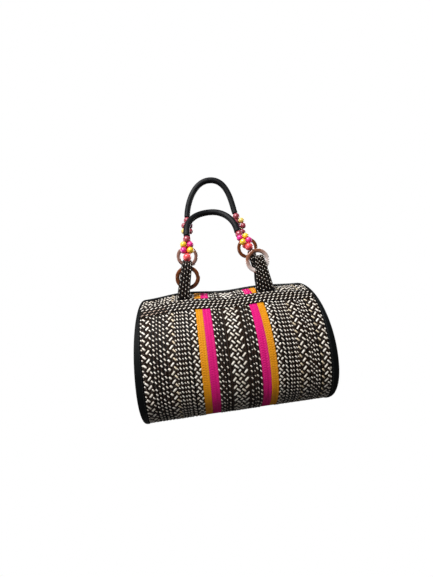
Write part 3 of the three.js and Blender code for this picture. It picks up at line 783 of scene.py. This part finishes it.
def capRows(turn):  # x from the end and offset of each row, in m
    edge = (borderAt(turn) - 2 * barrel["seam"]) / mm
    start = cap["borderStart"]
    border = [(start + (edge - start) * share, offset) for share, offset in cap["border"]]
    rows = [*cap["rim"], *border, cap["inside"]]
    return [(x * mm, flush(turn, offset * mm)) for x, offset in rows]


def shrunk(loop, share):  # the loop drawn in towards the middle of the end
    middle = barrel["widest"]
    return [Vector((p.x, p.y * share, middle + (p.z - middle) * share)) for p in loop]


def capMesh(name, side):
    turns = spread(0.0, 360.0, cap["turnStep"])[:-1]
    count = len(turns)
    columns = []
    for turn in turns:
        columns.append([surface(side * (barrel["halfLength"] - x), turn, offset)[0]
                        for x, offset in capRows(turn)])
    loops = [list(row) for row in zip(*columns)]
    edge, inner = loops[0], loops[-1]
    face = [shrunk(edge, share) for share in reversed(cap["rings"])]
    lining = [shrunk(inner, share) for share in cap["rings"]]
    loops = face + loops + lining
    vertices = [p for loop in loops for p in loop]
    mapping = []
    for row, loop in enumerate(loops):
        flat = row < len(face) + cap["flatRim"] or row >= len(loops) - len(lining)
        mapping += [(p.y, p.z) if flat else (p.x, arcAt(turn)) for p, turn in zip(loop, turns)]
    first, last = len(vertices), (len(loops) - 1) * count
    vertices += [Vector((loop[0].x, 0.0, barrel["widest"])) for loop in (edge, inner)]
    mapping += [(0.0, barrel["widest"])] * 2
    faces = skinFaces(len(loops), count)
    for j in range(count):
        k = (j + 1) % count
        faces.append((first, k, j))
        faces.append((first + 1, last + j, last + k))
    return makeMesh(name, vertices, faces, mapping, cap["sharp"])


def stitched(name, lines, sewn, number):  # a run of thread stitches along each line
    runs = []
    for line in lines:
        count = max(1, round(runOf(line) / (sewn["pitch"] * mm)))
        runs.append(guideLine(line, count, 0.0, sewn["long"], sewn["wide"], sewn["high"]))
    return layFloats(name, runs, "blackThread", sewn["seed"] + number, stitchCrown, stitchJitter)


for number, (node, side) in enumerate((("end_cap_left", -1), ("end_cap_right", 1))):
    sewn = cap["stitch"]
    lines = []
    for first, last in sewn["turns"]:
        turns = [turnAt(arc) for arc in spread(arcAt(first), arcAt(last), guides["roundStep"])]
        xs = [side * (barrel["halfLength"] - borderAt(turn) * sewn["share"]) for turn in turns]
        lines.append([surface(x, turn, sewn["offset"] * mm) for x, turn in zip(xs, turns)])
    stitches = stitched(node + "Stitches", lines, sewn, number)
    settle(joined([makePiece(camel(node), capMesh(node, side), "blackCloth"), stitches]), "black_cloth", node)

lip = dict(
    outline=(  # share from the mouth to the wall, offset in mm
        (0.0, -1.9), (0.0, -0.3), (0.06, 0.25), (0.25, 0.58), (0.6, 0.6), (0.9, 0.4), (1.0, 0.0), (1.0, -1.9),
        (0.85, -2.4), (0.15, -2.4)),
    step=5 * mm, clear=0.2, mapStep=4 * mm,
    stitch=dict(share=0.7, long=2.4, wide=0.6, pitch=3.8, high=0.45, offset=0.35, margin=3.0, seed=81),
)


def lipTurn(share, back):  # turn at a share of the way from the mouth to the wall
    first, last = barrel["mouthTurn"], barrel["lipTurn"] - lip["clear"]
    turn = first + (last - first) * share
    return 360 - turn if back else turn


for back, node in enumerate(("mouth_edge_front", "mouth_edge_back")):
    outline = [(lipTurn(share, back), offset * mm) for share, offset in lip["outline"]]
    rings = [[surface(besideBorder(x, turn), turn, offset)[0] for turn, offset in outline]
             for x in spread(-wallEnd, wallEnd, lip["step"])]
    mapping = [(p.x, lip["mapStep"] * k) for ring in rings for k, p in enumerate(ring)]
    sewn = lip["stitch"]
    inEnd = wallEnd - sewn["margin"] * mm
    line = bandLine(lipTurn(sewn["share"], back), -inEnd, inEnd, sewn["offset"] * mm)
    stitches = stitched(node + "Stitches", [line], sewn, back)
    skin = makePiece(camel(node), sweepMesh(node, rings, False, mapping), "blackCloth")
    settle(joined([skin, stitches]), "black_cloth", node)
print("ends and lips made")


# handles, in mm
hardware = dict(
    strap=2.4, eyeDepth=7.4, eyeOpening=8.0, ringOuter=21.0, ringInner=14.0, ringThick=5.0, largeBead=14.0,
    smallBead=11.4, largeHole=1.5, smallHole=1.7, core=1.0, strand=0.55, loopWide=4.5, loopHigh=5.1,
    loopSeat=0.2, bailBeyond=4.5, bailHigh=3.2, strandOut=6.8, splay=20.0, upperToRow=12.9, lowerToRow=12.0,
    rowToRow=11.8, grip=5.75, gap=0.3,
)
foldMiddle = hardware["strap"] + hardware["eyeDepth"] / 2  # from a tab's outer face to its eye's middle
ringRadius = (hardware["ringInner"] + hardware["ringOuter"]) / 2
handleEnds = (  # upper and lower name the beads of a row: right, left and rear
    dict(name="front_left", side=-1, footX=-75, footWidth=21, foldWidth=17, sewn=36,
         fold=(-61.5, -36, 254.1), rimDrop=8.8, stands=-1, lean=0, tilt=8, gripEnd=(-57.7, -8, 300.8),
         tiedTo="fold", wood="brownWood",
         upper=("pink", "yellow", "coral"), lower=("yellow", "pink", "coral")),
    dict(name="front_right", side=-1, footX=68.5, footWidth=33.5, foldWidth=15, sewn=18,
         fold=(61.5, -36, 255.5), rimDrop=26.2, stands=1, lean=-16, tilt=0, gripEnd=(35.7, 3, 302.2),
         tiedTo="ring", wood="roseWood",
         upper=("yellow", "pink", "coral"), lower=("pink", "yellow", "coral")),
    dict(name="back_left", side=1, footX=-75, footWidth=21, foldWidth=17, sewn=34,
         fold=(-62, 42, 259.2), rimDrop=10.2, stands=1, lean=8, tilt=0, gripEnd=(-53.6, 60, 346),
         tiedTo="ring", wood="greyWood",
         upper=("pink", "coral", "yellow"), lower=("coral", "yellow", "pink")),
    dict(name="back_right", side=1, footX=89, footWidth=23, foldWidth=12, sewn=36,
         fold=(66.9, 42, 267.4), rimDrop=10.4, stands=1, lean=-30, tilt=0, gripEnd=(44.7, 58, 346.3),
         tiedTo="ring", wood="brownWood",
         upper=("yellow", "coral", "pink"), lower=("coral", "pink", "yellow")),
)


def shoulderHeight(x, y):  # height of the plain wall under a foot
    turn = math.degrees(math.asin(abs(y) * mm / barrel["halfDepth"]))
    return surface(x * mm, turn, 0.0)[0].z / mm


def tabFrame(end):  # the tab's own axes, as the solids have them
    depth = abs(section(barrel["bandTop"])[0]) / mm - 2 * hardware["gap"]
    foot = Vector((end["footX"], end["side"] * depth, shoulderHeight(end["footX"], depth)))
    inward = Vector((0, -end["side"], 0))
    up = Vector(end["fold"]) - inward * foldMiddle - foot
    length = up.length
    up.normalize()
    inward = (inward - up * inward.dot(up)).normalized()
    across = up.cross(inward)
    return dict(foot=foot, up=up, inward=inward, across=-across if across.x < 0 else across, length=length)


tab = dict(
    column=5.4, fewest=3, lean=22, cream=(2.4, 1.15), dark=(4.4, 1.7), pitch=7.0, strands=3, crest=0.7,
    darkCrest=0.55, sunk=0.1, seed=91, seedStep=2, curve=10, stepUp=4.0, inset=0.25, layerGap=0.05,
    footClear=1.5, innerClear=0.15,  # share of the sewn height that the inner layer leaves bare
    outline=((-1, 0.35), (-1, -0.35), (-0.94, -1), (0.94, -1), (1, -0.35), (1, 0.35), (0.94, 1), (-0.94, 1)),
)


def tabPath(end, axes):  # middle line of the strap: up the outer layer, over the fold, down the inner layer
    strap, opening = hardware["strap"], hardware["eyeOpening"]
    radius = strap / 2 + hardware["eyeDepth"] / 2
    foldUp = axes["length"] - foldMiddle
    path = [(strap / 2, up) for up in spread(0.0, foldUp, tab["stepUp"])]
    for k in range(1, tab["curve"] + 1):
        angle = math.pi * (1 - k / tab["curve"])
        path.append((foldMiddle + radius * math.cos(angle), foldUp + radius * math.sin(angle)))
    far, near = foldMiddle + radius, strap + strap / 2 + tab["layerGap"]
    for up in spread(foldUp, 0.0, tab["stepUp"])[1:]:
        path.append((near + (far - near) * eased((up - (end["sewn"] - opening)) / (2 * opening)), up))
    return path


def tabSpot(end, axes, inAt, upAt, wide):
    width = end["footWidth"] + (end["foldWidth"] - end["footWidth"]) * upAt / axes["length"]
    spot = axes["foot"] + axes["up"] * upAt + axes["inward"] * inAt + axes["across"] * (wide * width)
    if upAt == 0:
        spot.z = shoulderHeight(spot.x, spot.y) + hardware["gap"]
    return spot


def pathNormals(path, axes):  # outward normals of the strap along its path
    normals = []
    for k in range(len(path)):
        (a, b), (c, d) = path[max(k - 1, 0)], path[min(k + 1, len(path) - 1)]
        way = Vector((c - a, d - b)).normalized()
        normals.append(axes["inward"] * -way.y + axes["up"] * way.x)
    return normals


def trimmed(line, start):  # the guide without its first stretch
    while start > 0 and len(line) > 2:
        step = (line[1][0] - line[0][0]).length
        if step > start:
            share = start / step
            return [(line[0][0].lerp(line[1][0], share), line[0][1].lerp(line[1][1], share))] + line[1:]
        start -= step
        line = line[1:]
    return line


def tabLines(end, axes, path, normals, proud):  # guides for the cream and the dark floats of a strap
    lines = dict(creamCane=[], darkCane=[])
    count = max(tab["fewest"], round(end["footWidth"] / tab["column"]))
    pitch = tab["pitch"] * mm
    for k in range(count):
        wide = (k + 0.5) / count - 0.5
        line = []
        for step, ((inAt, upAt), normal) in enumerate(zip(path, normals)):
            lowest = tab["footClear"] if step < len(path) / 2 else end["sewn"] * tab["innerClear"]
            if upAt > lowest:
                line.append(((tabSpot(end, axes, inAt, upAt, wide) + normal * proud) * mm, normal))
        for strand in range(tab["strands"]):
            own = trimmed(line, (k % 2 / 2 + strand / tab["strands"]) % 1.0 * pitch)
            pitches = max(1, math.floor(runOf(own) / pitch))
            size = (*tab["dark"], tab["darkCrest"]) if strand else (*tab["cream"], tab["crest"])
            finish = "darkCane" if strand else "creamCane"
            lines[finish].append(guideLine(own, pitches, tab["lean"], *size))
    return lines


def buildTab(number, end):
    axes = tabFrame(end)
    path = tabPath(end, axes)
    normals = pathNormals(path, axes)
    half = hardware["strap"] / 2 - tab["inset"]
    rings = []
    for (inAt, upAt), normal in zip(path, normals):
        rings.append([(tabSpot(end, axes, inAt, upAt, side / 2) + normal * (layer * half)) * mm
                      for side, layer in tab["outline"]])
    parts = [makePiece(camel("tab_" + end["name"]), sweepMesh("tab", rings), "caneShade")]
    laid = tabLines(end, axes, path, normals, half - tab["sunk"])
    for layer, (finish, lines) in enumerate(laid.items()):
        parts.append(layFloats("tab" + finish, lines, finish, tab["seed"] + tab["seedStep"] * number + layer))
    settle(joined(parts), "cane_braid", "tab_" + end["name"])
    return axes


ringShape = dict(segments=64, outline=14, squareness=2.6)


def buildRing(end, axes):
    tilt, lean = math.radians(end["tilt"]), math.radians(end["lean"])
    held = axes["foot"] + axes["up"] * (axes["length"] - end["rimDrop"]) + axes["inward"] * foldMiddle
    upright = Vector((math.sin(lean), -math.sin(tilt), math.cos(lean) * math.cos(tilt))).normalized()
    centre = held + upright * (end["stands"] * ringRadius)
    halfWide, halfThick = (hardware["ringOuter"] - hardware["ringInner"]) / 2, hardware["ringThick"] / 2
    power = 2 / ringShape["squareness"]
    turned = Matrix.Rotation(tilt, 3, "X")
    outline = []
    for j in range(ringShape["outline"]):
        angle = 2 * math.pi * j / ringShape["outline"]
        outline.append([math.copysign(abs(s) ** power, s) * half
                        for s, half in ((math.cos(angle), halfWide), (math.sin(angle), halfThick))])
    rings = []
    for k in range(ringShape["segments"]):
        around = 2 * math.pi * k / ringShape["segments"]
        out = Vector((math.cos(around), 0.0, math.sin(around)))
        rings.append([(centre + turned @ (out * (ringRadius + across) + Vector((0.0, thick, 0.0)))) * mm
                      for across, thick in outline])
    piece = makePiece(camel("ring_" + end["name"]), sweepMesh("ring", rings, True), end["wood"])
    settle(piece, "ring_wood", "ring_" + end["name"])
    return centre


beadShape = dict(sides=22, arcs=12, lip=0.35, narrowing=0.4, sharp=70.0)
beadLooks = {  # the back strings take darker copies of the front colours, a painted shade
    -1: dict(coral="coralBead", yellow="yellowBead", pink="pinkBead"),
    1: dict(coral="maroonBead", yellow="paleBead", pink="plumBead"),
}


def buildBead(node, colour, diameter, hole, centre, way, finish):
    radius, inset = diameter / 2, beadShape["lip"]
    start = math.asin(hole / radius)
    outline = []
    for k in range(beadShape["arcs"] + 1):
        angle = start + (math.pi - 2 * start) * k / beadShape["arcs"]
        outline.append((radius * math.sin(angle), -radius * math.cos(angle)))
    bore = hole - inset * beadShape["narrowing"]
    outline += [(bore, outline[-1][1] - inset), (bore, outline[0][1] + inset)]
    turned = Vector((0, 0, 1)).rotation_difference(way).to_matrix()
    rings = []
    for k in range(beadShape["sides"]):
        angle = 2 * math.pi * k / beadShape["sides"]
        spots = [Vector((r * math.cos(angle), r * math.sin(angle), h)) for r, h in outline]
        rings.append([(centre + turned @ spot) * mm for spot in spots])
    piece = makePiece(camel(node), sweepMesh(node, rings, True, sharp=beadShape["sharp"]), finish)
    settle(piece, colour + "_bead", node)


cordShape = dict(sides=8, loopPoints=28, strands=dict(right=30, left=150, rear=270))  # strands in degrees


def cordLoop(end, axes, ringCentre):  # the knot, and the loop there, round the ring or the tab's fold
    gripEnd, knot = Vector(end["gripEnd"]), Vector(end["fold"])
    if end["tiedTo"] == "ring":
        outward = gripEnd - ringCentre
        outward.y = 0.0
        knot = ringCentre + outward.normalized() * (ringRadius + hardware["loopSeat"])
        up = (gripEnd - knot).normalized()
        right = (Vector((1, 0, 0)) - up * up.x).normalized()
        high, wide = up * hardware["loopHigh"], right.cross(up) * hardware["loopWide"]
    else:
        knot.z -= hardware["strap"] / 2
        up = axes["up"]
        high = up * hardware["bailHigh"]
        wide = axes["across"] * (end["foldWidth"] / 2 + hardware["bailBeyond"])
    angles = [2 * math.pi * k / cordShape["loopPoints"] for k in range(cordShape["loopPoints"])]
    return knot, up, [knot + high * math.cos(angle) + wide * math.sin(angle) for angle in angles]


def buildStrings(end, axes, ringCentre):
    name = end["name"]
    gripEnd = Vector(end["gripEnd"])
    knot, loopUp, loop = cordLoop(end, axes, ringCentre)
    along = (gripEnd - knot).normalized()
    right = (Vector((1, 0, 0)) - along * along.x).normalized()
    front = right.cross(along)
    large, small, core = hardware["largeBead"], hardware["smallBead"], hardware["core"]
    rowUp, out = hardware["rowToRow"] / 2, hardware["strandOut"]
    upper = gripEnd - along * (hardware["gap"] + large / 2)
    middle = upper - along * (hardware["upperToRow"] + rowUp)
    lower = middle - along * (hardware["lowerToRow"] + rowUp)
    looks = beadLooks[end["side"]]
    # the top bead of every string takes the darker coral copy, a painted shade
    buildBead(f"bead_{name}_top", "coral", large, hardware["largeHole"], upper, along, "maroonBead")
    buildBead(f"bead_{name}_bottom", "coral", large, hardware["largeHole"], lower, along, looks["coral"])
    toLarge = rowUp - large / 2 - hardware["strand"]
    upperSplit, lowerSplit = hardware["upperToRow"] + toLarge, hardware["lowerToRow"] + toLarge
    tie = loop[0] - loopUp * core
    tubes = [(loop, hardware["strand"], True),
             ([tie, lower - along * (large / 2 + core), middle + along * (core - lowerSplit)], core, False),
             ([middle + along * (upperSplit - core), gripEnd - along * 2 * hardware["gap"]], core, False)]
    holeIn = small / 2 * math.sin(math.radians(hardware["splay"]))
    holeUp = small / 2 * math.cos(math.radians(hardware["splay"]))
    for number, (strand, degrees) in enumerate(cordShape["strands"].items()):
        outward = right * math.cos(math.radians(degrees)) + front * math.sin(math.radians(degrees))
        route = (  # how far out and how far up
            (0, upperSplit + core), (0, upperSplit), (out - holeIn, rowUp + holeUp),
            (out + holeIn, rowUp - holeUp), (out + holeIn, holeUp - rowUp), (out - holeIn, -rowUp - holeUp),
            (0, -lowerSplit), (0, -lowerSplit - core))
        path = [middle + outward * far + along * up for far, up in route]
        tubes.append((path, hardware["strand"], False))
        for row, up, way in (("upper", rowUp, path[2] - path[3]), ("lower", -rowUp, path[4] - path[5])):
            colour = end[row][number]
            buildBead(f"bead_{name}_{row}_{strand}", colour, small, hardware["smallHole"],
                      middle + outward * out + along * up, way.normalized(), looks[colour])
    parts = []
    for k, (points, radius, closed) in enumerate(tubes):
        rings = ringsAlong([p * mm for p in points], [radius * mm] * len(points), cordShape["sides"], closed)
        title = "strand" if k else camel("cord_" + name)
        parts.append(makePiece(title, sweepMesh("cord", rings, closed), "cordThread"))
    settle(joined(parts), "thread", "cord_" + name)
    return along


gripShape = dict(sides=24, steps=60, round=1.6, ease=0.35)
grips = (  # the ends are places in handleEnds
    dict(name="front", ends=(0, 1), top=(-6.8, 44, 349.5), rise=38.7, run=27, bows=(-4.6, 14)),
    dict(name="back", ends=(2, 3), top=(-0.4, 64, 416.7), rise=15, run=39, bows=(-1, -1)),
)


def bezier(a, b, c, d, count):
    return [a * (1 - t) ** 3 + b * (3 * t * (1 - t) ** 2) + c * (3 * t * t * (1 - t)) + d * t ** 3
            for t in (k / count for k in range(count + 1))]


def buildGrip(grip, ways):
    top, run = Vector(grip["top"]), Vector((grip["run"], 0, 0))
    start, finish = (Vector(handleEnds[k]["gripEnd"]) for k in grip["ends"])
    leaving, arriving = (end + ways[k] * grip["rise"] + Vector((bow, 0, 0))
                         for end, k, bow in zip((start, finish), grip["ends"], grip["bows"]))
    left = bezier(start, leaving, top - run, top, gripShape["steps"])
    points = left + bezier(top, top + run, arriving, finish, gripShape["steps"])[1:]
    radius, ease = hardware["grip"], gripShape["round"] * gripShape["ease"]
    tips = [points[k] + (points[j] - points[k]).normalized() * ease for k, j in ((0, 1), (-1, -2))]
    points = [points[0], tips[0], *points[1:-1], tips[1], points[-1]]
    tapered = [radius - gripShape["round"], radius - ease]
    radii = tapered + [radius] * (len(points) - 2 * len(tapered)) + tapered[::-1]
    sides = gripShape["sides"]
    rings = ringsAlong([p * mm for p in points], [r * mm for r in radii], sides)
    length, mapping = 0.0, []
    for k in range(len(rings)):
        length += (points[k] - points[k - 1]).length * mm if k else 0.0
        mapping += [(2 * math.pi * radius * mm * j / sides, length) for j in range(sides)]
    piece = makePiece(camel("grip_" + grip["name"]), sweepMesh("grip", rings, False, mapping), "gripCloth")
    settle(piece, "grip_cloth", "grip_" + grip["name"])


ways = []
for number, end in enumerate(handleEnds):
    axes = buildTab(number, end)
    ways.append(buildStrings(end, axes, buildRing(end, axes)))
for grip in grips:
    buildGrip(grip, ways)
print("handles made")


# floor, light and camera: the ground looks white but gives back little light
stage = dict(floorSize=8.0, bounce=0.14, world=0.06, aim=(0.0, 0.0, 0.12))
white = (1.0, 1.0, 1.0, 1.0)


def floorPaper():
    material = bpy.data.materials.new("floorPaper")
    material.use_nodes = True
    bench = Bench(material.node_tree)
    bench.tree.nodes.clear()
    seen = bench.node("ShaderNodeLightPath", output="Is Camera Ray")
    bright = bench.node("ShaderNodeEmission", None, {"Color": white})
    dim = bench.node("ShaderNodeBsdfDiffuse", None, {"Color": (*[stage["bounce"]] * 3, 1.0)})
    both = bench.node("ShaderNodeMixShader", None, {0: seen, 1: dim, 2: bright})
    bench.node("ShaderNodeOutputMaterial", None, {"Surface": both})
    return material


half = stage["floorSize"] / 2
corners = [(-half, -half, 0), (half, -half, 0), (half, half, 0), (-half, half, 0)]
floorMesh = bpy.data.meshes.new("floor")
floorMesh.from_pydata(corners, [], [(0, 1, 2, 3)])
floorMesh.materials.append(floorPaper())
floor = makePiece("floor", floorMesh)

scene.world = bpy.data.worlds.new("studio")
scene.world.use_nodes = True
sky = Bench(scene.world.node_tree)
sky.tree.nodes.clear()
seen = sky.node("ShaderNodeLightPath", output="Is Camera Ray")
strength = stage["world"] + seen * (1.0 - stage["world"])
backdrop = sky.node("ShaderNodeBackground", None, {"Color": white, "Strength": strength})
sky.node("ShaderNodeOutputWorld", None, {"Surface": backdrop})

lamps = (  # place in m, size in m, watts
    dict(name="key", place=(-0.42, -0.44, 1.08), size=0.45, watts=20.0),
    dict(name="rim", place=(0.4, 1.3, 0.45), size=0.6, watts=9.0),
    dict(name="rightEnd", place=(1.3, 0.25, 0.2), size=0.4, watts=12.0),
    dict(name="leftEnd", place=(-1.3, 0.25, 0.2), size=0.4, watts=8.0),
)
for lamp in lamps:
    light = bpy.data.lights.new(lamp["name"], "AREA")
    light.size, light.energy = lamp["size"], lamp["watts"]
    holder = bpy.data.objects.new(lamp["name"], light)
    holder.location = lamp["place"]
    away = Vector(stage["aim"]) - Vector(lamp["place"])
    holder.rotation_euler = away.to_track_quat("-Z", "Y").to_euler()
    scene.collection.objects.link(holder)

view = dict(  # place in mm, turns in degrees
    place=(-54.242, -462.493, 250.0), pan=5.091, tilt=-5.941, roll=-5.369, lensPixels=249.975,
    frameHeight=577, sensor=36.0, nearest=0.01,
)
pan, tilt, roll = (math.radians(view[key]) for key in ("pan", "tilt", "roll"))
ahead = Vector((math.sin(pan) * math.cos(tilt), math.cos(pan) * math.cos(tilt), math.sin(tilt)))
level = Vector((math.cos(pan), -math.sin(pan), 0.0))
upward = level.cross(ahead)
rightward = level * math.cos(roll) + upward * math.sin(roll)
upward = upward * math.cos(roll) - level * math.sin(roll)
lens = bpy.data.cameras.new("camera")
lens.sensor_fit, lens.sensor_width = "AUTO", view["sensor"]
lens.lens = view["lensPixels"] / view["frameHeight"] * view["sensor"]
lens.clip_start = view["nearest"]
camera = bpy.data.objects.new("camera", lens)
turned = Matrix((rightward, upward, -ahead)).transposed().to_4x4()
camera.matrix_world = Matrix.Translation(Vector(view["place"]) * mm) @ turned
scene.collection.objects.link(camera)
scene.camera = camera
scene.view_settings.view_transform = "Standard"
print("stage and camera set")
